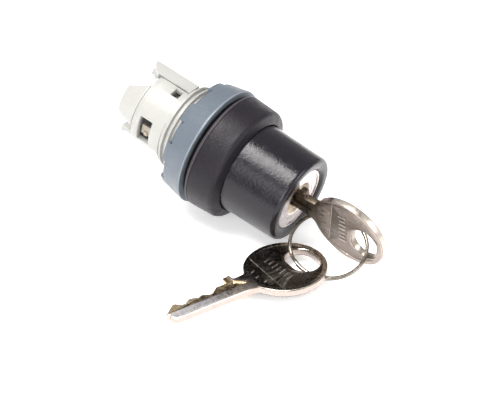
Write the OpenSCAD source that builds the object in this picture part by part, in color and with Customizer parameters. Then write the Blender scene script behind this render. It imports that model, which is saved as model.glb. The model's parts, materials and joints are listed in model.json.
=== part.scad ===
// Key-operated selector switch head for a 22 mm panel hole, with two keys on a split ring.
// The head lies nose slightly down, with its bezel's and its lock shroud's front edges level.

/* [Panel fixing] */
// radius over the crests of the fixing thread
thread_r = 11; // [10.8:0.05:11.05]
// pitch of the fixing thread
thread_pitch = 1.75; // [1.5:0.05:2]
// length of the threaded barrel behind the panel seat
barrel_len = 11.2; // [10.8:0.1:12]
// radius of the ring nut at its front face
nut_front_r = 15.5; // [15:0.1:16]
// radius of the ring nut at its rear face
nut_rear_r = 14.4; // [13.8:0.1:15]
// thickness of the ring nut
nut_len = 6.65; // [6:0.05:6.7]
// number of spanner slots in the ring nut
nut_slots = 6; // [4:1:8]
// thickness of the panel gasket
gasket_t = 1; // [0.8:0.1:1]

/* [Front] */
// radius of the bezel at its back edge
bezel_back_r = 15.1; // [14.8:0.05:15.4]
// radius of the bezel at its front edge
bezel_front_r = 14.75; // [14.4:0.05:15]
// distance from the panel seat to the bezel's front edge
bezel_edge_z = 8.2; // [7.8:0.1:8.4]
// radius of the lock shroud where it leaves the bezel
shroud_base_r = 11.75; // [11.5:0.05:11.85]
// radius of the lock shroud at its front edge
shroud_front_r = 11.35; // [11:0.05:11.5]
// distance from the panel seat to the lock shroud's front edge
shroud_edge_z = 24.6; // [24:0.1:25]

/* [Lock] */
// radius of the lock body's face
lock_r = 8; // [7.8:0.05:8]
// radius of the turning plug
plug_r = 5.5; // [5.3:0.05:5.6]
// distance from the panel seat to the lock's face
lock_face_z = 24.5; // [24.2:0.1:24.7]
// number of wafers
wafer_count = 5; // [3:1:5]
// roll of the key's plane about the lock axis, from straight up
key_roll = -17; // [-30:1:30]
// travel of the plungers when the key turns a quarter turn
plunger_travel = 2.4; // [2:0.1:2.6]

/* [Keys] */
// thickness of a key
key_t = 1.9; // [1.8:0.05:1.95]
// length of the key's bow
bow_l = 20.2; // [19.8:0.1:20.4]
// width of the key's bow
bow_w = 19.5; // [19:0.1:19.8]
// distance from the bow's centre to the key's tip
key_reach = 32.8; // [32.6:0.1:33]
// distance from the panel seat to the centre of the inserted key's bow
bow_z = 39.5; // [39.3:0.1:39.7]
// radius of the split ring at its wire's centre
ring_r = 9.15; // [9.1:0.01:9.2]
// diameter of the split ring's wire
wire_d = 0.5; // [0.4:0.05:0.55]

/* [Hidden] */
// tilt at which the bezel's front edge and the shroud's front edge are level underneath
rest_tilt = atan((bezel_front_r - shroud_front_r) / (shroud_edge_z - bezel_edge_z));
// barrel
core_r = 10.3;
nut_bore_r = 10.65;
bore_r = 8.7;
cam_bore_r = 7.65;
flange_r = 13.4;
flange_t = 1.6;
body_rear_r = 7.5;
// collar behind the thread
collar_r = 9.8;
collar_in_r = 8.3;
collar_end_z = -20;
plate_t = 1.4;
window_front_z = -14.3;
window_rear_z = -17.9;
window_w = 7;
tongue_x = -0.3;
// fits
running = 0.06;
slip = 0.1;
// wafers
wafer_t = 0.8;
wafer_first_z = 21;
wafer_step = 2.5;
wafer_h = 9.2;
wafer_w = 6;
// keyway
way_h = 6.3;
way_mid = -0.1;
// cam and plungers
cam_r = 7.3;
cam_rear_z = -13;
cam_front_z = -6.6;
ramp_steps = 10;
plunger_at = 5.6;
plunger_gap = 0.35;
ball_r = 1;
ball_z = -9.5;
// slot in the bow
slot_r = 3.55;
slot_half = 1.25;
slot_a = 4.7;
slot_w = -0.3;
// where the ring and the spare key lie
ring_at = [-2.78, -34.735, -12.15];
ring_lean = [0, 21.33, 0];
ring_yaw = 214.6;
spare_at = [-14.675, -30.484, -14.11];
spare_yaw = -21.5;
spare_pitch = 1.2;
spare_roll = -3.34;
$fn = 96;

// Colours of the mouldings and metals.
black = [0.09, 0.09, 0.1];
gloss_black = [0.13, 0.13, 0.15];
rubber = [0.04, 0.04, 0.04];
white = [0.88, 0.88, 0.84];
nut_grey = [0.5, 0.57, 0.63];
nickel = [0.75, 0.71, 0.68];
brass = [0.72, 0.6, 0.38];
steel = [0.6, 0.6, 0.62];
amber = [0.62, 0.5, 0.38];

// Stands the panel frame (out of the panel along +Z, up along +Y) in its resting pose.
module lying() {
  rotate([90 + rest_tilt, 0, 0]) children();
}

// Ring of rectangular section from z0 to z1.
module tube(r_out, r_in, z0, z1) {
  difference() {
    translate([0, 0, z0]) cylinder(r = r_out, h = z1 - z0);
    translate([0, 0, z0 - 1]) cylinder(r = r_in, h = z1 - z0 + 2);
  }
}

// Block centred on its x and y, from z0 to z1.
module block(x, y, wx, wy, z0, z1) {
  translate([x - wx / 2, y - wy / 2, z0]) cube([wx, wy, z1 - z0]);
}

// Sector of a ring, from angle a0 over da degrees.
module sector(r_in, r_out, z0, z1, a0, da) {
  rotate([0, 0, a0]) rotate_extrude(angle = da)
    translate([r_in, z0]) square([r_out - r_in, z1 - z0]);
}

module front_bezel() {
  color(black) lying() rotate_extrude() polygon([
    [13.5, gasket_t],
    [bezel_back_r - 0.35, gasket_t],
    [bezel_back_r, gasket_t + 0.35],
    [bezel_front_r, bezel_edge_z],
    [bezel_front_r - 0.2, bezel_edge_z + 0.45],
    [bezel_front_r - 0.65, bezel_edge_z + 0.75],
    [shroud_base_r + 0.15, bezel_edge_z + 1.5],
    [shroud_base_r + 0.15, bezel_edge_z],
    [13.5, bezel_edge_z]]);
}

module lock_shroud() {
  color(gloss_black) lying() difference() {
    rotate_extrude() polygon([
      [lock_r + slip, 2.6],
      [13.2, 2.6],
      [13.2, bezel_edge_z - 0.1],
      [shroud_base_r, bezel_edge_z - 0.1],
      [shroud_front_r, shroud_edge_z],
      [shroud_front_r - 0.25, shroud_edge_z + 0.4],
      [shroud_front_r - 0.75, shroud_edge_z + 0.62],
      [lock_r + 1, shroud_edge_z + 0.55],
      [lock_r + slip, shroud_edge_z - 0.2]]);
    tube(12.2, 9.4, 1, 6.4);
  }
}

module panel_gasket() {
  color(rubber) lying() tube(14.5, thread_r + 0.1, 0, gasket_t);
}

// Barrel with ring-shaped thread crests, a front flange and pockets for the detents.
module threaded_barrel() {
  color(white) lying() difference() {
    union() {
      translate([0, 0, -barrel_len]) cylinder(r = core_r, h = barrel_len + gasket_t);
      translate([0, 0, gasket_t]) cylinder(r = flange_r, h = flange_t);
      for (k = [0 : 5])
        translate([0, 0, -barrel_len + k * thread_pitch])
          thread_crest(k < 3 ? thread_r : nut_bore_r - 0.05);
    }
    translate([0, 0, -4]) cylinder(r = bore_r, h = gasket_t + 4);
    translate([0, 0, -barrel_len - 1]) cylinder(r = cam_bore_r, h = barrel_len);
    translate([0, 0, -1]) cylinder(r = body_rear_r + slip, h = gasket_t + flange_t + 2);
    for (a = [90, 270])
      rotate([0, 0, a]) translate([7, 0, ball_z]) rotate([0, 90, 0])
        cylinder(r = ball_r + 0.1, h = 2.75);
  }
}

module thread_crest(r) {
  rotate_extrude() polygon([
    [core_r - 0.3, 0],
    [r, 0],
    [r, 0.6],
    [core_r, 1.05],
    [core_r - 0.3, 1.05]]);
}

// Ring nut with a slightly tapered skirt, spanner slots and a dimple on each land.
module ring_nut() {
  rear_z = -0.15 - nut_len;
  color(nut_grey) lying() difference() {
    rotate_extrude() polygon([
      [nut_bore_r, rear_z],
      [nut_rear_r - 0.3, rear_z],
      [nut_rear_r, rear_z + 0.4],
      [nut_front_r, -0.75],
      [nut_front_r, -0.4],
      [nut_front_r - 0.25, -0.15],
      [nut_bore_r, -0.15]]);
    for (k = [0 : nut_slots - 1])
      sector(12.6, 17, rear_z - 1, rear_z + 1.1, 94 + k * 360 / nut_slots, 20);
    for (k = [0 : nut_slots - 1])
      rotate([0, 0, 133 + k * 360 / nut_slots]) translate([12.2, 0, rear_z - 1])
        cylinder(r = 0.35, h = 1.8, $fn = 24);
  }
}

// Collar behind the thread, with a side window and a rear guide plate for the plungers.
module latch_collar() {
  color(white) lying() difference() {
    union() {
      tube(collar_r, collar_in_r, collar_end_z, -barrel_len);
      translate([0, 0, collar_end_z]) cylinder(r = collar_in_r + 0.2, h = plate_t);
    }
    block(-collar_r, 0, 6, window_w, window_rear_z, window_front_z);
    block(-1.9, collar_r, 2.2, 2.6, -14.8, -12.8);
    for (s = [-1, 1])
      block(0, s * plunger_at, 5, 3.6, collar_end_z - 1, collar_end_z + plate_t + 1);
    translate([0, 0, collar_end_z - 1]) cylinder(r = 2.6, h = plate_t + 2);
  }
}

// Long flat tongue on the collar's upper side, with a slanted end and a small hook.
module long_tongue() {
  top = collar_r + 0.3;
  color(white) lying() difference() {
    union() {
      translate([0, top, 0]) rotate([90, 0, 0]) linear_extrude(1.3)
        polygon([
          [tongue_x, -barrel_len - 0.1],
          [tongue_x, -20.7],
          [tongue_x + 2.9, -24.9],
          [tongue_x + 4.2, -24.9],
          [tongue_x + 4.2, -barrel_len - 0.1]]);
      block(tongue_x + 3.55, top, 1.1, 0.35, -24.9, -24.1);
    }
    translate([0, 0, collar_end_z]) cylinder(r = collar_r, h = 8.9);
  }
}

// Shorter tongue on the collar's lower side.
module short_tongue() {
  color(white) lying() difference() {
    union() {
      block(0, -8.6, 7.4, 1.4, -26.2, collar_end_z);
      block(0, -9.45, 7.4, 0.6, -26.2, -25.2);
    }
    block(0, -9, 2.2, 4, -25, -21.5);
  }
}

// Wedge-shaped lug that guides the contact holder onto the collar.
module wedge_lug() {
  intersection() {
    rotate_extrude() polygon([
      [6.4, -25.6],
      [8, -25.6],
      [collar_r, collar_end_z],
      [6.4, collar_end_z]]);
    translate([0, 0, -26]) linear_extrude(7)
      polygon([[0, 0], [-5.4, 12], [-14, 12], [-14, -0.6]]);
  }
}

module wedge_lug_left() {
  color(white) lying() wedge_lug();
}

module wedge_lug_right() {
  color(white) lying() mirror([1, 0, 0]) wedge_lug();
}

// Spring catch seen through the collar's window.
module window_catch() {
  color(amber) lying() union() {
    block(-7.9, -0.8, 0.5, 2.6, -17.6, -14.6);
    block(-8.25, -1.6, 0.5, 1, -16.6, -15.6);
  }
}

// Lock body: a stepped tube with an o-ring groove, a rim and two wafer channels.
module lock_body() {
  color(nickel) lying() difference() {
    union() {
      translate([0, 0, 2.6]) cylinder(r = lock_r, h = lock_face_z - 2.8);
      translate([0, 0, -3.6]) cylinder(r = body_rear_r, h = 7);
      translate([0, 0, lock_face_z - 0.3]) tube(lock_r, lock_r - 0.55, 0, 0.3);
    }
    translate([0, 0, -5]) cylinder(r = plug_r + running, h = 40);
    tube(lock_r + 1, 7.45, 11.3, 12.7);
    rotate([0, 0, -key_roll]) for (s = [-1, 1])
      block(0, s * (plug_r + 0.2), wafer_w + 0.4, 1.4, 5, 22.4);
  }
}

// Round nut with two spanner slots that clamps the lock body to the barrel's flange.
module body_nut() {
  color(brass) lying() difference() {
    tube(8.5, body_rear_r, -1.6, gasket_t);
    for (a = [0, 90, 180, 270])
      rotate([0, 0, a]) block(8.6, 0, 1.2, 2, -3, -0.4);
  }
}

module o_ring() {
  color(rubber) lying() translate([0, 0, 12]) rotate_extrude()
    translate([7.78, 0]) circle(r = 0.32, $fn = 32);
}

// Turning plug with its keyway, a recess round the keyhole, wafer slots and a square tail.
module lock_plug() {
  color(nickel) lying() rotate([0, 0, -key_roll]) difference() {
    union() {
      translate([0, 0, -4]) cylinder(r = plug_r, h = lock_face_z - 0.2 + 4);
      block(0, 0, 4, 4, -12, -3.9);
    }
    block(0, way_mid, key_t + 0.2, way_h, 6, lock_face_z + 1);
    block(0, way_mid, key_t + 1.3, way_h + 1, lock_face_z - 0.9, lock_face_z + 1);
    for (k = [0 : wafer_count - 1])
      block(0, 0, wafer_w + 0.1, wafer_h + 4, wafer_z(k) - wafer_t / 2 - 0.05,
            wafer_z(k) + wafer_t / 2 + 0.05);
    translate([0, 0, -13]) cylinder(r = 1.25, h = 7, $fn = 48);
    for (k = [0 : wafer_count - 1])
      translate([2.35, 0, wafer_z(k) - wafer_t / 2 - 0.9]) rotate([-90, 0, 0])
        cylinder(r = 0.45, h = 4, $fn = 24);
  }
}

function wafer_z(k) = wafer_first_z - k * wafer_step;

module key_wafers() {
  color(brass) lying() rotate([0, 0, -key_roll])
    for (k = [0 : wafer_count - 1])
      difference() {
        block(0, 0, wafer_w, wafer_h, wafer_z(k) - wafer_t / 2, wafer_z(k) + wafer_t / 2);
        block(0, way_mid, key_t + 0.3, way_h + 0.2, wafer_z(k) - 1, wafer_z(k) + 1);
      }
}

// Small coils beside the wafers, each drawn as three closed turns.
module wafer_springs() {
  color(steel) lying() rotate([0, 0, -key_roll])
    for (k = [0 : wafer_count - 1])
      translate([2.35, 1, wafer_z(k) - wafer_t / 2 - 0.9]) rotate([-90, 0, 0])
        for (j = [0 : 2])
          translate([0, 0, j * 0.8]) rotate_extrude($fn = 24)
            translate([0.32, 0]) circle(r = 0.1, $fn = 16);
}

// Steel disc on the plug's square tail, with two dogs that drive the cam.
module plug_driver() {
  color(steel) lying() rotate([0, 0, -key_roll]) difference() {
    union() {
      translate([0, 0, -5.6]) cylinder(r = 6.6, h = 1.5);
      for (s = [-1, 1])
        block(0, s * 4.6, 2.2, 2, -8, -5.5);
    }
    block(0, 0, 4, 4, -9, -3);
  }
}

module driver_screw() {
  color(steel) lying() difference() {
    union() {
      translate([0, 0, cam_rear_z - 1.25]) cylinder(r = 2.2, h = 1.2);
      translate([0, 0, cam_rear_z - 0.1]) cylinder(r = 1.2, h = 6);
    }
    block(0, 0, 0.6, 6, cam_rear_z - 2, cam_rear_z - 0.7);
  }
}

// Cam on the plug's tail. Two ramps on its rear face push the plungers.
module rotary_cam() {
  color(nut_grey) lying() difference() {
    union() {
      translate([0, 0, cam_rear_z]) cylinder(r = cam_r, h = cam_front_z - cam_rear_z);
      for (s = [90, 270])
        for (k = [1 : ramp_steps])
          sector(4.2, 7, cam_rear_z - plunger_travel * k / ramp_steps, cam_rear_z + 0.1,
                 s + (k - 1) * 90 / ramp_steps, 108 - (k - 1) * 90 / ramp_steps);
    }
    rotate([0, 0, -key_roll]) block(0, 0, 4.1, 4.1, -12.05, 0);
    translate([0, 0, -14]) cylinder(r = 1.3, h = 4, $fn = 48);
    rotate([0, 0, -key_roll]) for (s = [-1, 1])
      block(0, s * 4.6, 2.3, 2.1, -8.1, 0);
    translate([0, 0, ball_z]) rotate_extrude()
      translate([cam_r + 0.3, 0]) circle(r = ball_r + 0.15, $fn = 48);
  }
}

// Plunger with a narrow nose that follows the cam and a foot that works the contacts.
module plunger(s) {
  color(white) lying() union() {
    block(0, s * plunger_at, 1, 2.4, cam_rear_z - 3.4, cam_rear_z - plunger_gap);
    block(0, s * plunger_at, 4.8, 3.4, -21.8, cam_rear_z - 3.2);
  }
}

module plunger_upper() {
  plunger(1);
}

module plunger_lower() {
  plunger(-1);
}

module detent_balls() {
  color(steel) lying() for (s = [-1, 1])
    translate([0, s * (cam_r + 0.3), ball_z]) sphere(r = ball_r, $fn = 48);
}

module detent_springs() {
  color(steel) lying() for (a = [90, 270])
    rotate([0, 0, a]) for (j = [0 : 2])
      translate([8.75 + j * 0.4, 0, ball_z]) rotate([0, 90, 0]) rotate_extrude($fn = 32)
        translate([0.7, 0]) circle(r = 0.13, $fn = 16);
}

// Outline of a key, bow at the origin and blade along -X, without the slot in the bow.
module key_outline() {
  polygon(concat(
    [for (a = [-150 : 6 : 150]) [bow_l / 2 * cos(a), bow_w / 2 * sin(a)]],
    [
      [-9.3, 3.6],
      [-10, 3],
      [-12.7, 2.8],
      [-12.9, 4.5],
      [-14.6, 4.7],
      [-14.7, 2.6],
      [-17.6, 2.6],
      [-19.4, 1.2],
      [-20.4, 1.1],
      [-21.9, 2],
      [-23.1, 1.5],
      [-24.3, 2.2],
      [-25.4, 2.3],
      [-26.6, 1.4],
      [-27.8, 1.4],
      [-28.9, 2.5],
      [-29.6, 2.5],
      [-key_reach + 0.5, 0.3],
      [-key_reach, -0.2],
      [-key_reach + 0.3, -1.6],
      [-key_reach + 1.3, -3],
      [-15, -3],
      [-12.6, -3.05],
      [-10.6, -3.2],
      [-9.5, -3.7]]));
}

// Stadium-shaped slot in the bow.
module bow_slot() {
  translate([slot_a - slot_r, slot_w - slot_half]) square([2 * slot_r, 2 * slot_half]);
  for (s = [-1, 1])
    translate([slot_a, slot_w + s * slot_half]) circle(r = slot_r);
}

// Whole key, lying on its mid plane: sunk bow faces inside a raised rim, and a stepped blade.
module key_solid() {
  difference() {
    translate([0, 0, -key_t / 2]) linear_extrude(key_t) difference() {
      key_outline();
      bow_slot();
    }
    for (s = [-1, 1])
      translate([0, 0, s * key_t / 2 - 0.15]) linear_extrude(0.3) difference() {
        polygon([for (a = [0 : 6 : 354]) [(bow_l / 2 - 1.2) * cos(a), (bow_w / 2 - 1.2) * sin(a)]]);
        translate([slot_a, slot_w]) circle(r = slot_r + slot_half + 0.7);
      }
    translate([-key_reach - 1, -0.5, key_t / 2 - 0.5]) cube([21.5, 4, 1]);
    translate([-key_reach - 1, -3.5, -key_t / 2 - 0.5]) cube([20.5, 3.2, 0.9]);
    translate([-5.3, -7.2, key_t / 2 - 0.4]) cube([0.3, 14.4, 1]);
  }
}

module key_in_lock() {
  color(nickel) lying() rotate([0, 0, -key_roll]) translate([0, 0.3, bow_z])
    rotate([0, -90, 0]) key_solid();
}

// Split ring of two close turns of wire.
module key_ring() {
  color(steel) translate(ring_at) rotate([0, 0, ring_yaw]) rotate(ring_lean) union() {
    for (s = [-1, 1])
      translate([0, 0, s * wire_d / 2]) rotate_extrude()
        translate([ring_r, 0]) circle(r = wire_d / 2, $fn = 24);
    rotate_extrude() translate([ring_r - 0.12, -wire_d / 2]) square([0.24, wire_d]);
  }
}

module spare_key() {
  color(nickel) translate(spare_at) rotate([0, 0, spare_yaw]) rotate([spare_roll, 0, 0])
    rotate([0, -spare_pitch, 0]) key_solid();
}

front_bezel();
lock_shroud();
panel_gasket();
threaded_barrel();
ring_nut();
latch_collar();
long_tongue();
short_tongue();
wedge_lug_left();
wedge_lug_right();
window_catch();
lock_body();
body_nut();
o_ring();
lock_plug();
key_wafers();
wafer_springs();
plug_driver();
driver_screw();
rotary_cam();
plunger_upper();
plunger_lower();
detent_balls();
detent_springs();
key_in_lock();
key_ring();
spare_key();
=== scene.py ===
import json
import math
import bpy
import bmesh
from mathutils import Matrix, Vector


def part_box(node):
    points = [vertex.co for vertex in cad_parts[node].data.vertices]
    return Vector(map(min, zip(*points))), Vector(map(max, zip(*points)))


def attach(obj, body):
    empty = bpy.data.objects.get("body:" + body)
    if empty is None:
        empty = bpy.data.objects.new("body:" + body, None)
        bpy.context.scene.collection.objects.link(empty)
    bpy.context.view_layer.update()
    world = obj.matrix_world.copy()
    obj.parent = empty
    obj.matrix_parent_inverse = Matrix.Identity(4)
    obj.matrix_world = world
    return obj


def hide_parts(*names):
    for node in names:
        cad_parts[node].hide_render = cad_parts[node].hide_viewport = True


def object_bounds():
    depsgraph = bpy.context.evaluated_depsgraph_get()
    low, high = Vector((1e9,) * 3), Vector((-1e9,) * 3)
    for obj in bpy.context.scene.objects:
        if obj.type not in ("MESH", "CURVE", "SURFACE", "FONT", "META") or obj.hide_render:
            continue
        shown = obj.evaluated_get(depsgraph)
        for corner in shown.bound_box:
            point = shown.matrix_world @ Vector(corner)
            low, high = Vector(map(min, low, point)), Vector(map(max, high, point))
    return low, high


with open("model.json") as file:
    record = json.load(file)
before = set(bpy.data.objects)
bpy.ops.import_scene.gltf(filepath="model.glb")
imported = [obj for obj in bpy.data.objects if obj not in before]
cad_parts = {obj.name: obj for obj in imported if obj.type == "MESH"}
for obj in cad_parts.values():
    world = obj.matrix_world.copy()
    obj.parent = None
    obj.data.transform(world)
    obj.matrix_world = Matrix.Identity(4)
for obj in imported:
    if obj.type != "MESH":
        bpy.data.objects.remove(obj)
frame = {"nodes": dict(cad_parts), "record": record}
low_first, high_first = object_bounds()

MM = 0.001
REC = frame["record"]
JOINT = {j["name"]: j for j in REC["behaviour"]["joints"]}
SEAT = next(m for m in REC["mounts"] if m["name"] == "panel_seat")


# ---------------------------------------------------------------- frames
def basis(origin, x, y, z):
    m = Matrix((x, y, z)).transposed().to_4x4()
    m.translation = origin
    return m


nose = -Vector(SEAT["axis"]).normalized()
side = Vector((1, 0, 0))
PANEL = basis(Vector(SEAT["pos_m"]), side, nose.cross(side), nose)
ROLL = math.radians(17)  # the key and the plug stand turned by this about the switch's axis
KEY_FRONT = 39.5  # distance of the bow's centre in front of the panel
KEY_SHIFT = 0.3  # the bow's centre lies this far off the axis, across the blade
key_w = (PANEL.to_3x3() @ Vector((-math.sin(ROLL), math.cos(ROLL), 0))).normalized()
key_o = PANEL @ (Vector((-math.sin(ROLL) * KEY_SHIFT, math.cos(ROLL) * KEY_SHIFT, KEY_FRONT)) * MM)
KEY1 = basis(key_o, nose, key_w, nose.cross(key_w))
spare_low, spare_high = (Vector(c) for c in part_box("spare_key"))
spare_rot = (Matrix.Rotation(math.radians(-21.5), 3, "Z") @ Matrix.Rotation(math.radians(-3.34), 3, "X")
             @ Matrix.Rotation(math.radians(-1.2), 3, "Y"))
SPARE_OFFSET = Vector((0.0103945, -0.0016645, 0.0000795))  # from the spare's box centre to its bow's centre
ring_n = Vector((-0.29941, -0.20655, 0.9315))
ring_x = Vector((0, 1, 0)).cross(ring_n).normalized()
RING = basis(Vector(JOINT["ring_swing"]["pos_m"]), ring_x, ring_n.cross(ring_x), ring_n)


# ---------------------------------------------------------------- meshes
def make(name, verts, faces, where, smooth=35):
    me = bpy.data.meshes.new(name)
    me.from_pydata([Vector(v) * MM for v in verts], [], faces)
    bm = bmesh.new()
    bm.from_mesh(me)
    bmesh.ops.remove_doubles(bm, verts=bm.verts, dist=1e-7)
    bmesh.ops.recalc_face_normals(bm, faces=bm.faces)
    bm.to_mesh(me)
    bm.free()
    ob = bpy.data.objects.new(name, me)
    bpy.context.scene.collection.objects.link(ob)
    ob.matrix_world = where
    soften(ob, smooth)
    return ob


def soften(ob, angle=35):
    for p in ob.data.polygons:
        p.use_smooth = True
    ob.data.set_sharp_from_angle(angle=math.radians(angle))


def round_loop(pts, radii, n=5):
    """Closed (r, z) loop with its corners filleted by the given radii."""
    out = []
    for i, p in enumerate(pts):
        p = Vector(p)
        r = radii[i] if i < len(radii) else 0
        a, b = Vector(pts[i - 1]) - p, Vector(pts[(i + 1) % len(pts)]) - p
        if r <= 0:
            out.append(tuple(p))
            continue
        r = min(r, a.length * 0.45, b.length * 0.45)
        a.normalize()
        b.normalize()
        for k in range(n + 1):
            t = k / n
            out.append(tuple(p + a * r * (1 - t) ** 2 + b * r * t ** 2))
    return out


def revolve(name, loop, where, segs=256, a0=None, a1=None, smooth=35, slant=None):
    """Sweeps a closed (r, z) loop about Z, all round or from a0 to a1; slant gives both angles from z."""
    full = a0 is None
    n = segs if full else segs + 1
    m = len(loop)
    verts, faces = [], []
    for i in range(n):
        for r, z in loop:
            b0, b1 = slant(z) if slant else (a0, a1)
            t = 2 * math.pi * i / segs if full else math.radians(b0 + (b1 - b0) * i / segs)
            verts.append((r * math.cos(t), r * math.sin(t), z))
    for i in range(segs):
        j = (i + 1) % n
        for k in range(m):
            l = (k + 1) % m
            faces.append((i * m + k, j * m + k, j * m + l, i * m + l))
    if not full:
        faces += [tuple(range(m)), tuple(range((n - 1) * m, n * m))]
    return make(name, verts, faces, where, smooth)


def inset(loop, d):
    """2-D loop moved inward by d along its corner normals."""
    area = sum(a[0] * b[1] - b[0] * a[1] for a, b in zip(loop, loop[1:] + loop[:1]))
    s = 1 if area > 0 else -1
    out = []
    for i, p in enumerate(loop):
        a, b = Vector(loop[i - 1]), Vector(loop[(i + 1) % len(loop)])
        p = Vector(p)
        e, f = (p - a).normalized(), (b - p).normalized()
        nrm = Vector((-(e + f).y, (e + f).x)) * s
        nrm.normalize()
        c = max(0.6, nrm.dot(Vector((-e.y, e.x)) * s))
        out.append(tuple(p + nrm * d / c))
    return out


def plate(name, outer, holes, z0, z1, edge, where, smooth=35, steps=4):
    """Flat part with rounded edges: an outline and its holes, from z0 to z1."""
    ring = [(edge * (1 - math.sin(a)), edge * (1 - math.cos(a)))
            for a in (math.pi / 2 * k / steps for k in range(steps + 1))]
    levels = [(d, z0 + h) for d, h in ring] + [(d, z1 - h) for d, h in reversed(ring)]
    bm = bmesh.new()
    caps = [[], []]
    for loop, sign in [(outer, 1)] + [(h, -1) for h in holes]:
        rows = []
        for d, z in levels:
            rows.append([bm.verts.new(Vector((x, y, z)) * MM) for x, y in inset(loop, d * sign)])
        for a, b in zip(rows, rows[1:]):
            for i in range(len(a)):
                bm.faces.new((a[i - 1], a[i], b[i], b[i - 1]))
        for cap, row in ((0, rows[0]), (1, rows[-1])):
            for i in range(len(row)):
                caps[cap].append(bm.edges.get((row[i - 1], row[i])))
    for edges in caps:
        bmesh.ops.triangle_fill(bm, use_beauty=True, use_dissolve=False, edges=edges)
    bmesh.ops.recalc_face_normals(bm, faces=bm.faces)
    me = bpy.data.meshes.new(name)
    bm.to_mesh(me)
    bm.free()
    ob = bpy.data.objects.new(name, me)
    bpy.context.scene.collection.objects.link(ob)
    ob.matrix_world = where
    soften(ob, smooth)
    return ob


def slab(x, y, z, where, edge=0.05, turn=0):
    """Rounded box given by its (low, high) ranges, used for cutters and small blocks."""
    c = Vector(((x[0] + x[1]) / 2, (y[0] + y[1]) / 2))
    rot = Matrix.Rotation(math.radians(turn), 2)
    pts = [c + rot @ (Vector(p) - c) for p in ((x[0], y[0]), (x[1], y[0]), (x[1], y[1]), (x[0], y[1]))]
    return plate("slab", [tuple(p) for p in pts], [], z[0], z[1], edge, where, steps=2)


def bake(ob):
    deps = bpy.context.evaluated_depsgraph_get()
    me = bpy.data.meshes.new_from_object(ob.evaluated_get(deps))
    ob.modifiers.clear()
    ob.data = me


def cut(ob, *tools):
    for t in tools:
        m = ob.modifiers.new("cut", "BOOLEAN")
        m.operation = "DIFFERENCE"
        m.solver = "EXACT"
        m.object = t
    bake(ob)
    for t in tools:
        bpy.data.objects.remove(t)
    return ob


def join(name, *obs):
    """One object from several, in the first one's frame."""
    bm = bmesh.new()
    base = obs[0].matrix_world.inverted()
    for o in obs:
        me = o.data.copy()
        me.transform(base @ o.matrix_world)
        bm.from_mesh(me)
        bpy.data.meshes.remove(me)
    me = bpy.data.meshes.new(name)
    bm.to_mesh(me)
    bm.free()
    ob = obs[0]
    ob.data = me
    ob.name = name
    for o in obs[1:]:
        bpy.data.objects.remove(o)
    return ob


def edge_round(ob, width, segs=2, angle=30):
    m = ob.modifiers.new("edges", "BEVEL")
    m.width = width * MM
    m.segments = segs
    m.limit_method = "ANGLE"
    m.angle_limit = math.radians(angle)
    m.harden_normals = True
    bake(ob)
    soften(ob, 50)
    return ob


# ---------------------------------------------------------------- materials
def coordinates(nt, local):
    """The piece's own coordinates: kept on built meshes, or the object's for CAD nodes and the floor."""
    if local:
        at = nt.nodes.new("ShaderNodeAttribute")
        at.attribute_name = "local"
        return at.outputs["Vector"]
    return nt.nodes.new("ShaderNodeTexCoord").outputs["Object"]


def material(name, base, rough, metal=0.0, alt=None, spread=0.5, patch=260, grain=2600, bump=0.1,
             height=0.02, rough_var=0.1, spec=0.5, local=True, tone=0.12, glow=0.0):
    """Procedural surface: patchy colour, uneven roughness and fine grain bump (height in mm)."""
    m = bpy.data.materials.new(name)
    m.use_nodes = True
    nt = m.node_tree
    nt.nodes.clear()
    new, link = nt.nodes.new, nt.links.new
    out = new("ShaderNodeOutputMaterial")
    b = new("ShaderNodeBsdfPrincipled")
    link(b.outputs[0], out.inputs[0])
    b.inputs["Metallic"].default_value = metal
    b.inputs["Specular IOR Level"].default_value = spec
    here = coordinates(nt, local)

    def noise(scale, detail, fall=0.55):
        n = new("ShaderNodeTexNoise")
        n.inputs["Scale"].default_value = scale
        n.inputs["Detail"].default_value = detail
        n.inputs["Roughness"].default_value = fall
        link(here, n.inputs["Vector"])
        return n.outputs["Fac"]

    def span(sock, lo, hi, a=0.3, z=0.7):
        r = new("ShaderNodeMapRange")
        for i, v in ((1, a), (2, z), (3, lo), (4, hi)):
            r.inputs[i].default_value = v
        link(sock, r.inputs[0])
        return r.outputs[0]

    mix = new("ShaderNodeMix")
    mix.data_type = "RGBA"
    link(span(noise(patch, 5), 0, spread), mix.inputs[0])
    mix.inputs[6].default_value = (*base, 1)
    mix.inputs[7].default_value = (*(alt or [c * 0.72 for c in base]), 1)
    colour = mix.outputs[2]
    fine = noise(grain, 3, 0.6)
    speck = new("ShaderNodeMix")
    speck.data_type = "RGBA"
    speck.blend_type = "MULTIPLY"
    speck.inputs[0].default_value = 1.0
    link(colour, speck.inputs[6])
    grey_tone = new("ShaderNodeCombineColor")
    shade = span(fine, 1 - tone, 1 + tone * 0.8)
    for i in range(3):
        link(shade, grey_tone.inputs[i])
    link(grey_tone.outputs[0], speck.inputs[7])
    link(speck.outputs[2], b.inputs["Base Color"])
    add = new("ShaderNodeMath")
    add.operation = "ADD"
    link(span(noise(patch * 2.3, 6), rough - rough_var, rough + rough_var), add.inputs[0])
    link(span(fine, -rough_var * 0.4, rough_var * 0.4), add.inputs[1])
    link(add.outputs[0], b.inputs["Roughness"])
    bp = new("ShaderNodeBump")
    bp.inputs["Strength"].default_value = bump
    bp.inputs["Distance"].default_value = height * MM
    link(fine, bp.inputs["Height"])
    link(bp.outputs[0], b.inputs["Normal"])
    b.inputs["Emission Color"].default_value = (1, 1, 1, 1)
    b.inputs["Emission Strength"].default_value = glow
    m["speck"] = speck.name
    return m


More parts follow.
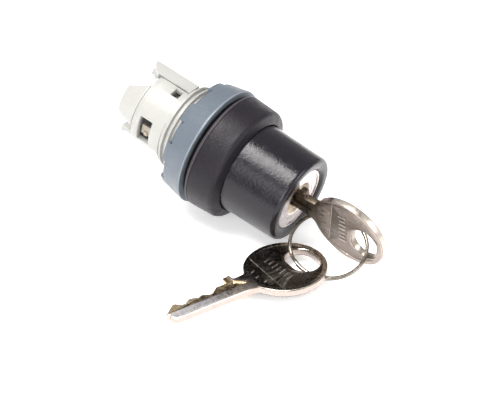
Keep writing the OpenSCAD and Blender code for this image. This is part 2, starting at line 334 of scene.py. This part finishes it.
def tint(m, axis, a, z, colour, amount=1.0, absolute=False, second=None):
    """Lays a colour over part of the surface: it rises from none at a to amount at z, in mm along the axis of
    the piece's own coordinates. second holds further (axis, none, full) limits that multiply it."""
    nt = m.node_tree
    new, link = nt.nodes.new, nt.links.new
    sep = new("ShaderNodeSeparateXYZ")
    link(coordinates(nt, True), sep.inputs[0])
    sock = sep.outputs[axis]
    if absolute:
        ab = new("ShaderNodeMath")
        ab.operation = "ABSOLUTE"
        link(sock, ab.inputs[0])
        sock = ab.outputs[0]
    r = new("ShaderNodeMapRange")
    for i, v in ((1, a * MM), (2, z * MM), (3, 0.0), (4, amount)):
        r.inputs[i].default_value = v
    link(sock, r.inputs[0])
    fac = r.outputs[0]
    for ax, lo, hi in second or ():
        r2 = new("ShaderNodeMapRange")
        for i, v in ((1, lo * MM), (2, hi * MM), (3, 0.0), (4, 1.0)):
            r2.inputs[i].default_value = v
        link(sep.outputs[ax], r2.inputs[0])
        mu = new("ShaderNodeMath")
        mu.operation = "MULTIPLY"
        link(fac, mu.inputs[0])
        link(r2.outputs[0], mu.inputs[1])
        fac = mu.outputs[0]
    speck = nt.nodes[m["speck"]]
    src = speck.inputs[6].links[0].from_socket
    mx = new("ShaderNodeMix")
    mx.data_type = "RGBA"
    link(fac, mx.inputs[0])
    link(src, mx.inputs[6])
    mx.inputs[7].default_value = (*colour, 1)
    link(mx.outputs[2], speck.inputs[6])
    return m


bezel_black = material("bezel_black", (0.011, 0.0095, 0.0125), 0.38, alt=(0.016, 0.014, 0.0175), patch=180,
                       grain=2100, bump=0.9, height=0.12, rough_var=0.1, spec=0.15, tone=0.2)
# painted highlight: the bezel's rear lip (below z 1.8 mm) is coloured lighter, standing in for the bright line
# light draws along that edge
tint(bezel_black, 2, 1.9, 1.8, (0.05, 0.045, 0.05), 0.8)
shroud_black = material("shroud_black", (0.007, 0.006, 0.009), 0.2, alt=(0.010, 0.0085, 0.0125), patch=220,
                        grain=1700, bump=0.65, height=0.09, rough_var=0.08, spec=0.3, tone=0.2)
rubber = material("gasket_rubber", (0.002, 0.002, 0.002), 0.85, spec=0.1, grain=3000, bump=0.3, height=0.03)
white, white_shaded_side = (material(nm, (0.335, 0.335, 0.318), 0.38, alt=(0.315, 0.315, 0.293), patch=120,
                              grain=2400, bump=0.12, height=0.02, tone=0.05)
                     for nm in ("white_moulding", "white_tongue"))
# painted shade: the tongue's left side face (x below -0.2 mm) is coloured grey, a shaded copy of the same white
# moulding
tint(white_shaded_side, 0, -0.1, -0.2, (0.15, 0.17, 0.15))
grey = material("nut_grey", (0.086, 0.106, 0.128), 0.42, alt=(0.07, 0.09, 0.112), patch=160, grain=2600,
                bump=0.3, height=0.03)
amber = material("catch_amber", (0.30, 0.265, 0.21), 0.5, 0.1, patch=900, grain=3000, local=False)
nickel, face_nickel = (material(nm, (0.66, 0.61, 0.60), 0.3, 1.0, alt=(0.56, 0.50, 0.485), patch=420,
                                grain=1800, bump=0.18, height=0.02, rough_var=0.1, local=own)
                       for nm, own in (("lock_nickel", False), ("plug_nickel", True)))
brass = material("wafer_brass", (0.72, 0.56, 0.30), 0.35, 1.0, patch=600, grain=2600, local=False)
steel = material("spring_steel", (0.58, 0.58, 0.60), 0.3, 1.0, patch=600, grain=2600, local=False)
inner_rubber = material("o_ring_rubber", (0.008, 0.008, 0.009), 0.7, grain=3000, bump=0.3, height=0.03,
                        local=False)
inner_white = material("plunger_white", (0.66, 0.66, 0.63), 0.42, alt=(0.60, 0.60, 0.56), patch=120,
                       grain=2400, bump=0.12, local=False)
cam_grey = material("cam_plastic", (0.3, 0.32, 0.35), 0.45, patch=300, grain=2400, bump=0.2, local=False)
# Both keys are one nickel silver. Key one's base colour is darkened, a shaded copy that paints in its shade and
# dark reflections, while the spare keeps the lighter metal colour.
key1_shaded_mat = material("key_nickel_silver", (0.24, 0.205, 0.183), 0.34, 1.0, alt=(0.185, 0.155, 0.135),
                    patch=340, grain=1500, bump=0.22, height=0.03, rough_var=0.1)
key2_mat = material("key_nickel_silver_spare", (0.66, 0.60, 0.53), 0.26, 1.0, alt=(0.50, 0.43, 0.36),
                    patch=380, grain=1500, bump=0.2, height=0.03, rough_var=0.1)
ring_mat = material("ring_steel", (0.27, 0.245, 0.21), 0.25, 1.0, alt=(0.17, 0.15, 0.12), patch=300,
                    grain=2500)


def settle(ob):
    """Moves the mesh into the row frame and keeps its local coordinates for the material."""
    me = ob.data
    co = [0.0] * (3 * len(me.vertices))
    me.vertices.foreach_get("co", co)
    me.attributes.new("local", "FLOAT_VECTOR", "POINT").data.foreach_set("vector", co)
    me.transform(ob.matrix_world)
    ob.matrix_world = Matrix()


def place(ob, body, nodes, mat):
    settle(ob)
    ob.data.materials.clear()
    ob.data.materials.append(mat)
    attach(ob, body)
    if nodes:
        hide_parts(*nodes)
    return ob


# ---------------------------------------------------------------- bezel, shroud, gasket
bezel = revolve("bezel", round_loop(
    [(13.5, 1.0), (14.72, 1.0), (15.1, 1.4), (15.08, 1.86), (14.93, 1.93), (14.93, 2.06), (15.06, 2.13),
     (14.72, 8.2), (14.3, 8.92), (11.93, 9.7), (11.93, 8.2), (13.5, 8.2)],
    [0, 0.15, 0.3, 0.05, 0.03, 0.03, 0.05, 0.5, 0.55, 0.18, 0, 0]), PANEL, 320)
place(bezel, "head", ["front_bezel"], bezel_black)

shroud = revolve("shroud", round_loop(
    [(8.1, 2.6), (13.2, 2.6), (13.2, 8.1), (11.75, 8.1), (11.36, 24.5), (10.75, 25.22), (9.0, 25.14),
     (8.1, 24.55)],
    [0, 0.2, 0.2, 0.1, 0.6, 0.4, 0.5, 0.1]), PANEL, 320)
place(shroud, "head", ["lock_shroud"], shroud_black)

gasket = revolve("gasket", round_loop([(11.1, 0), (13.9, 0), (13.75, 0.5), (13.9, 1.0), (11.1, 1.0)],
                                      [0.1, 0.2, 0.1, 0.2, 0.1]), PANEL, 192)
place(gasket, "head", ["panel_gasket"], rubber)


# ---------------------------------------------------------------- threaded barrel
def barrel():
    """Barrel with a helical thread of rounded ridges that fades out at its rear end."""
    na, nz, z0, z1, pitch = 240, 150, -11.2, 1.0, 1.4
    root, crest = 10.12, 10.98
    verts, faces = [], []
    for i in range(nz + 1):
        z = z0 + (z1 - z0) * i / nz
        for k in range(na):
            t = 2 * math.pi * k / na
            u = ((z - z0) / pitch - k / na) % 1.0
            h = min(1.0, max(0.0, 1.9 * (0.5 + 0.5 * math.cos(2 * math.pi * (u - 0.42))) - 0.5))
            h *= min(1.0, max(0.0, (z - z0 - 0.05) / 0.35)) * min(1.0, max(0.0, (0.2 - z) / 0.3))
            r = root + (crest - root) * h
            verts.append((r * math.cos(t), r * math.sin(t), z))
    for i in range(nz):
        for k in range(na):
            l = (k + 1) % na
            faces.append((i * na + k, i * na + l, (i + 1) * na + l, (i + 1) * na + k))
    tail = [(13.4, 1.0), (13.4, 2.6), (7.6, 2.6), (7.6, 1.0), (8.7, 1.0), (8.7, -4), (7.65, -4),
            (7.65, -11.2)]
    base = len(verts)
    for r, z in tail:
        verts += [(r * math.cos(2 * math.pi * k / na), r * math.sin(2 * math.pi * k / na), z)
                  for k in range(na)]
    rows = [nz * na] + [base + j * na for j in range(len(tail))] + [0]
    for a, b in zip(rows, rows[1:]):
        for k in range(na):
            l = (k + 1) % na
            faces.append((a + k, a + l, b + l, b + k))
    return make("barrel", verts, faces, PANEL, 40)


place(barrel(), "head", ["threaded_barrel"], white)


# ---------------------------------------------------------------- ring nut
def nut():
    """Skirted nut whose rear edge steps down at each spanner slot."""
    segs, first, step, width = 720, 89.5, 45, 23.8  # slots: where the first begins, spacing, width, degrees
    verts, faces = [], []
    for i in range(segs):
        deg = 360 * i / segs
        a = (deg - first) % step
        near = min(a, width - a) if a <= width else -min(a - width, step - a)
        d = max(0.0, min(1.0, near / 0.8 + 0.5))
        rear = -6.8 + 1.1 * d
        rr = 14.4 + 0.18 * d
        loop = [(11.02, -6.8), (12.5, -6.8), (12.6, -6.8), (12.62, rear), (rr - 0.28, rear),
                (rr - 0.08, rear + 0.08), (rr, rear + 0.3), (15.44, -0.95), (15.53, -0.7), (15.54, -0.4),
                (15.5, -0.22), (15.4, -0.15),
                (11.02, -0.15)]
        m = len(loop)
        t = math.radians(deg)
        verts += [(r * math.cos(t), r * math.sin(t), z) for r, z in loop]
    for i in range(segs):
        j = (i + 1) % segs
        for k in range(m):
            l = (k + 1) % m
            faces.append((i * m + k, j * m + k, j * m + l, i * m + l))
    ob = make("ring_nut_body", verts, faces, PANEL, 32)
    pits = []
    for k in range(360 // step):
        for deg in (first + 0.8, first + 23.0):
            m4 = PANEL @ Matrix.Rotation(math.radians(deg + step * k), 4, "Z") @ Matrix.Translation(
                Vector((14.5, 0, -5.66)) * MM) @ Matrix.Rotation(math.radians(90), 4, "Y")
            pits.append(revolve("pit", [(0.001, -0.8), (0.3, -0.8), (0.34, 0.5), (0.001, 0.6)], m4, 20))
    return cut(ob, join("pits", *pits))


nut_ob = nut()
# painted highlight: the nut's front edge (z above -0.45 mm) is coloured lighter, standing in for the bright
# line of light along it
tint(grey, 2, -0.52, -0.45, (0.2, 0.225, 0.255), 0.5)
soften(nut_ob, 32)
place(nut_ob, "head", ["ring_nut"], grey)

# ---------------------------------------------------------------- collar, tongues, lugs
collar = revolve("collar", round_loop(
    [(8.3, -18.6), (8.3, -11.2), (9.72, -11.2), (9.8, -11.4), (9.8, -19.1), (9.66, -19.22), (9.66, -19.9),
     (9.5, -20), (2.6, -20), (2.6, -18.6)], [0.1, 0, 0.05, 0.1, 0.06, 0.06, 0.1, 0.1, 0.1, 0.1], 3), PANEL, 192)
window = slab((-13, -6.9), (-3.5, 3.5), (-17.9, -14.3), PANEL, 0.12)
hole = slab((-3.3, -0.7), (7.2, 11.5), (-14.6, -12.4), PANEL, 0.1)
slots = [slab((-2.5, 2.5), (s * 5.6 - 1.8, s * 5.6 + 1.8), (-21, -17.6), PANEL, 0.1) for s in (-1, 1)]
cut(collar, window, hole, *slots)
edge_round(collar, 0.12)
place(collar, "head", ["latch_collar"], white)

UP = PANEL @ Matrix.Rotation(math.radians(90), 4, "X")  # its x is the panel's x, its y the panel's z
tongue = plate("tongue", [(-0.3, -11.3), (-0.3, -20.7), (2.44, -23.95), (3.9, -24.3), (3.9, -11.3)], [],
               -10.1, -8.8, 0.16, UP)
rib = plate("rib", [(-0.3, -12.2), (-0.3, -15.2), (0.35, -16.4), (0.35, -12.2)], [], -10.22, -9.0, 0.1, UP)
tongue = join("tongue", tongue, rib)
place(tongue, "head", ["long_tongue"], white_shaded_side)

low_tongue = plate("low_tongue", [(-3.7, -26.2), (3.7, -26.2), (3.7, -20), (-3.7, -20)],
                   [[(-1.1, -25), (1.1, -25), (1.1, -21.5), (-1.1, -21.5)]], 7.9, 9.3, 0.14, UP)
low_hook = plate("low_hook", [(-3.7, -26.2), (3.7, -26.2), (3.7, -25.2), (-3.7, -25.2)], [],
                 9.0, 9.75, 0.12, UP)
place(join("low_tongue", low_tongue, low_hook), "head", ["short_tongue"], white)

LUG = round_loop([(6.4, -25.6), (7.9, -25.6), (8.15, -25.3), (9.8, -20.3), (9.8, -20), (6.4, -20)],
                 [0.1, 0.1, 0.1, 0.1, 0, 0], 3)
SLANT = 15.5  # degrees by which a lug's upper end falls back towards its rear
for nm, node, ends in (("lug_left", "wedge_lug_left", lambda q: (114.2 + SLANT * q, 182.5)),
                       ("lug_right", "wedge_lug_right", lambda q: (-2.5, 65.8 - SLANT * q))):
    lug = revolve(nm, LUG, PANEL, 40, 0, 1, slant=lambda z: ends(max(0.0, (-20 - z) / 5.6)))
    edge_round(lug, 0.14, 3)
    place(lug, "head", [node], white)

# ---------------------------------------------------------------- lock face
PLUG = PANEL @ Matrix.Rotation(ROLL, 4, "Z")
plug = revolve("plug", round_loop(
    [(0.001, -4), (5.5, -4), (5.5, 24.3), (4.5, 24.3), (3.5, 23.45), (0.001, 23.35)],
    [0, 0, 0.12, 0.16, 0.3, 0], 4), PLUG, 160)
way = slab((-1.05, 1.05), (-3.25, 3.05), (6, 26), PLUG, 0.15)
tail = slab((-2, 2), (-2, 2), (-12, -3.9), PLUG, 0.1)
cut(plug, way)
edge_round(plug, 0.07)
plug = join("plug", plug, tail)
# painted shade: the plug below its face (the recessed middle of the face and the keyway) is coloured a darker
# brown
tint(face_nickel, 2, 24.28, 24.0, (0.34, 0.27, 0.18), 0.9)
place(plug, "plug", ["lock_plug"], face_nickel)


# ---------------------------------------------------------------- keys
KEY_HALF = 0.95  # half the key's thickness
BOW_A, BOW_B = 10.1, 9.75  # the bow's half axes, along and across the blade
SLOT_X, SLOT_R = 4.7, 3.55  # slot in the bow: its middle and its ends' radius
SLOT_TOP, SLOT_LOW = 0.95, -1.55  # centres of the slot's two round ends
RIM = 1.15  # width of the raised rim round the sunk face
BAND_R = 4.8  # radius of the raised band round the slot


def key_outline():
    bow = [(BOW_A * math.cos(math.radians(a)), BOW_B * math.sin(math.radians(a)))
           for a in range(-150, 151, 4)]
    blade = [(-9.3, 3.6), (-9.6, 3.25), (-10, 3), (-11.4, 2.88), (-12.55, 2.85), (-12.8, 3.2), (-12.9, 4.5),
             (-13.1, 4.75), (-14.4, 4.75), (-14.6, 4.6), (-14.7, 2.6), (-16.2, 2.6), (-17.6, 2.6),
             (-19.4, 1.2), (-20.4, 1.1), (-21.9, 2.0), (-23.1, 1.5), (-24.3, 2.2), (-25.4, 2.3),
             (-26.6, 1.4), (-27.8, 1.4), (-28.9, 2.5), (-29.6, 2.5), (-32.2, 0.4), (-32.75, -0.1),
             (-32.7, -0.6), (-32.2, -1.0), (-32.3, -1.6), (-31.9, -2.5), (-31.4, -2.95), (-28, -3),
             (-22, -3), (-15, -3), (-12.6, -3.05), (-10.6, -3.2), (-9.9, -3.4), (-9.5, -3.7)]
    return bow + blade


def slot_loop(n=14):
    arc = [(SLOT_R * math.cos(math.pi * k / n), SLOT_R * math.sin(math.pi * k / n)) for k in range(n + 1)]
    return [(SLOT_X + x, SLOT_TOP + y) for x, y in arc] + [(SLOT_X - x, SLOT_LOW - y) for x, y in arc]


def sunk_loop():
    """Part of the bow's face inside the rim and outside the band round the slot."""
    ea, eb, cx, cy = BOW_A - RIM, BOW_B - RIM, SLOT_X, (SLOT_TOP + SLOT_LOW) / 2
    ell = [(ea * math.cos(math.radians(a)), eb * math.sin(math.radians(a))) for a in range(0, 360, 3)]
    keep = [p for p in ell if math.hypot(p[0] - cx, p[1] - cy) > BAND_R]
    cut_at = max(range(len(keep)), key=lambda i: math.dist(keep[i - 1], keep[i]))
    keep = keep[cut_at:] + keep[:cut_at]
    b0 = math.atan2(keep[-1][1] - cy, keep[-1][0] - cx) % (2 * math.pi)
    b1 = math.atan2(keep[0][1] - cy, keep[0][0] - cx) % (2 * math.pi)
    if b1 < b0:
        b1 += 2 * math.pi
    if math.cos((b0 + b1) / 2) > 0:  # the arc passes on the blade's side of the slot
        b1 -= 2 * math.pi
    arc = [b0 + (b1 - b0) * k / 24 for k in range(1, 24)]
    return keep + [(cx + BAND_R * math.cos(b), cy + BAND_R * math.sin(b)) for b in arc]


def stroke(a, w, length, width, turn_deg, z, where):
    """Raised bar centred at (a, w) on the bow's face."""
    return slab((a - length / 2, a + length / 2), (w - width / 2, w + width / 2), z, where, 0.07, turn_deg)


def beyond(side_of, depth):
    """The z range of a cutter that goes this deep into one face of the key."""
    return (KEY_HALF - depth, KEY_HALF + 1) if side_of > 0 else (-KEY_HALF - 1, -KEY_HALF + depth)


def key(name, where):
    ob = plate(name, key_outline(), [slot_loop()], -KEY_HALF, KEY_HALF, 0.26, where)
    tools = []
    for s in (-1, 1):
        tools.append(plate("sunk", sunk_loop(), [], *beyond(s, 0.15), 0.04, where, steps=2))
        tools.append(slab((-5.32, -5.02), (-7.9, 8.0), beyond(s, 0.33), where, 0.04))
    milled = [(-36, -0.6), (-13, -0.5), (-10.1, -0.1), (-13.2, 2.2), (-13.6, 8), (-36, 8)]
    tools.append(plate("milled", milled, [], *beyond(1, 0.5), 0.05, where, steps=2))
    tools.append(slab((-36, -13.3), (-2.02, -1.86), beyond(1, 0.16), where, 0.03))
    tools.append(slab((-36, -13.9), (-6, -0.4), beyond(-1, 0.4), where, 0.05))
    tools.append(slab((-36, -13.9), (1.1, 1.3), beyond(-1, 0.2), where, 0.03))
    cut(ob, *tools)
    edge_round(ob, 0.05, 2, 35)
    soften(ob, 18)
    marks = []
    for s in (-1, 1):
        z = tuple(sorted((s * (KEY_HALF - 0.25), s * (KEY_HALF - 0.04))))
        for i in range(7):
            marks.append(stroke(-2.1 + 0.12 * i, 4.5 - 1.45 * i, 2.3 - 0.5 * (i % 2), 0.42, 14, z, where))
        for a, w in ((-7.5, 2.5), (-7.7, 0.2), (-6.9, -2.3)):
            marks.append(stroke(a, w, 1.3, 0.42, 20, z, where))
    return join(name, ob, *marks)


key1 = key("key_one", KEY1)
# painted highlight: the raised rim's top on the far half of key one's bow (x above 2 mm) is coloured lighter
tint(key1_shaded_mat, 2, 0.875, 0.89, (0.45, 0.39, 0.35), 0.6, True, [(0, -2, 2)])
# painted highlight: a lighter band along the rounded top edge of key one's bow, on one face
tint(key1_shaded_mat, 2, 0.865, 0.88, (0.52, 0.46, 0.41), 0.7, False, [(0, -8.8, -8.6), (2, 0.94, 0.93)])
# painted highlight: key one's edge walls (|z| below 0.66 mm, x above -5.5 mm) are coloured much lighter than
# its faces, for the light they reflect
tint(key1_shaded_mat, 2, 0.72, 0.66, (0.50, 0.45, 0.395), 1.0, True, [(0, -5.7, -5.5)])
# painted shade: key one darkens along its neck and blade towards the lock (x from -5.4 to -9.5 mm)
tint(key1_shaded_mat, 0, -5.4, -9.5, (0.10, 0.08, 0.055), 0.85)
place(key1, "key", ["key_in_lock"], key1_shaded_mat)

KEY2 = spare_rot.to_4x4()
KEY2.translation = (spare_low + spare_high) / 2 + SPARE_OFFSET
key2 = key("key_spare", KEY2)
# painted reflection: the spare's bow faces (|z| above 0.7 mm, x above -9.5 mm) are coloured nearly black, for
# the dark surroundings they reflect
tint(key2_mat, 2, 0.60, 0.70, (0.075, 0.065, 0.055), 0.93, True, [(0, -14, -9.5)])
# painted highlight: the raised rim's top at the far end of the spare's bow (x above 5 mm) is coloured lighter
tint(key2_mat, 2, 0.875, 0.89, (0.62, 0.53, 0.42), 0.85, True, [(0, 0.5, 5.0)])
# painted highlight: the blade's top faces towards the tip (x below -21 mm) are coloured nearly white
tint(key2_mat, 2, 0.88, 0.92, (0.97, 0.94, 0.96), 0.95, True, [(0, -14, -21)])
# painted highlight: a lighter band along the rounded top edge of the spare's bow, on one face
tint(key2_mat, 2, 0.865, 0.88, (0.72, 0.65, 0.56), 0.9, False, [(0, -8.8, -8.6), (2, 0.94, 0.93)])
# painted shade: the spare's edge walls (|z| below 0.66 mm) are coloured a darker brown than its metal
tint(key2_mat, 2, 0.72, 0.66, (0.42, 0.355, 0.322), 1.0, True)
# painted highlight: the floor of the engraved line on one face of the spare is coloured light
tint(key2_mat, 2, 0.66, 0.62, (0.86, 0.80, 0.72), 1.0, False,
     [(0, -5.36, -5.34), (0, -4.98, -5.0), (2, 0.58, 0.6)])
# painted shade: the milled band on the blade, set below the face, is coloured a darker tan
tint(key2_mat, 1, -0.75, -0.6, (0.58, 0.45, 0.27), 0.95, False, [(0, -9.9, -10.1), (2, 0.55, 0.5)])
place(key2, "spare", ["spare_key"], key2_mat)


# ---------------------------------------------------------------- split ring
def split_ring():
    """Two turns of oval wire with the step from one turn to the other and two flat-cut ends."""
    big, half_h, half_w, gap, sides, n = 9.23, 0.25, 0.42, math.radians(9), 16, 520
    start, end = gap, 4 * math.pi - gap
    verts, faces = [], []
    for i in range(n + 1):
        t = start + (end - start) * i / n
        u = min(1.0, max(0.0, (t - (2 * math.pi - gap * 0.9)) / (1.8 * gap)))
        h = -half_h + 2 * half_h * (u * u * (3 - 2 * u))
        a = t + math.radians(150)
        for k in range(sides):
            p = 2 * math.pi * k / sides
            r = big + half_w * math.cos(p)
            verts.append((r * math.cos(a), r * math.sin(a), h + half_h * math.sin(p)))
    for i in range(n):
        for k in range(sides):
            l = (k + 1) % sides
            faces.append((i * sides + k, i * sides + l, (i + 1) * sides + l, (i + 1) * sides + k))
    faces += [tuple(range(sides)), tuple(range(n * sides, (n + 1) * sides))]
    return make("split_ring", verts, faces, RING, 40)


place(split_ring(), "ring", ["key_ring"], ring_mat)

# ---------------------------------------------------------------- pieces kept from the CAD
KEPT = {"lock_body": nickel, "body_nut": brass, "o_ring": inner_rubber, "key_wafers": brass,
        "wafer_springs": steel, "plug_driver": steel, "driver_screw": steel, "rotary_cam": cam_grey,
        "plunger_upper": inner_white, "plunger_lower": inner_white, "detent_balls": steel,
        "detent_springs": steel, "window_catch": amber}
for node, mat in KEPT.items():
    ob = frame["nodes"][node]
    ob.data.materials.clear()
    ob.data.materials.append(mat)
    for p in ob.data.polygons:
        p.material_index = 0

# ---------------------------------------------------------------- floor, light, camera
FLOOR_HALF = 1.6
CELLS = 24
ROW = CELLS + 1
cells = [(-FLOOR_HALF + 2 * FLOOR_HALF * i / CELLS, -FLOOR_HALF + 2 * FLOOR_HALF * j / CELLS)
         for i in range(ROW) for j in range(ROW)]
me = bpy.data.meshes.new("floor")
me.from_pydata([(x, y, low_first[2]) for x, y in cells], [],
               [(i * ROW + j, (i + 1) * ROW + j, (i + 1) * ROW + j + 1, i * ROW + j + 1)
                for i in range(CELLS) for j in range(CELLS)])
floor = bpy.data.objects.new("floor", me)
bpy.context.scene.collection.objects.link(floor)
me.materials.append(material("floor_pale", (0.95, 0.95, 0.95), 0.7, alt=(0.945, 0.945, 0.945), patch=4,
                             grain=2000, bump=0.01, height=0.005, rough_var=0.02, spec=0.1, local=False,
                             tone=0.0, glow=0.32))

scene = bpy.context.scene
scene.view_settings.view_transform = "Standard"
world = bpy.data.worlds.new("studio")
scene.world = world
world.use_nodes = True
background = world.node_tree.nodes["Background"].inputs
background["Color"].default_value = (1.0, 0.985, 0.985, 1)
background["Strength"].default_value = 0.62


def lamp(name, at, aim, w, h, watts, colour=(1, 1, 1)):
    li = bpy.data.lights.new(name, "AREA")
    li.shape = "RECTANGLE"
    li.size, li.size_y = w, h
    li.energy = watts
    li.color = colour
    ob = bpy.data.objects.new(name, li)
    scene.collection.objects.link(ob)
    ob.location = at
    ob.rotation_euler = (Vector(aim) - Vector(at)).to_track_quat("-Z", "Y").to_euler()


centre = ((low_first[0] + high_first[0]) / 2, (low_first[1] + high_first[1]) / 2, 0)
lamp("overhead", (centre[0] - 0.10, centre[1] + 0.06, 0.42), centre, 0.2, 0.26, 2.9, (1.0, 0.97, 0.96))
lamp("front_left", (centre[0] - 0.5, centre[1] - 0.15, 0.25), centre, 0.4, 0.4, 2.5)
lamp("front_right", (centre[0] + 0.1, centre[1] - 0.55, 0.3), centre, 0.35, 0.3, 1.6)

CAMERA_LENS = 132.84
CAMERA_AT = Vector((-0.3044465, -0.2154599, 0.2522156))
CAMERA_LOOK = Vector((0.67316912, 0.45475196, -0.58313291))
CAMERA_UP = Vector((0.46087147, 0.35868866, 0.81175115))
cam = bpy.data.cameras.new("camera")
cam.sensor_width = 36
cam.lens = CAMERA_LENS
cam.clip_start = 0.01
cam_ob = bpy.data.objects.new("camera", cam)
scene.collection.objects.link(cam_ob)
cam_ob.matrix_world = basis(CAMERA_AT, CAMERA_LOOK.cross(CAMERA_UP), CAMERA_UP, -CAMERA_LOOK)
scene.camera = cam_ob
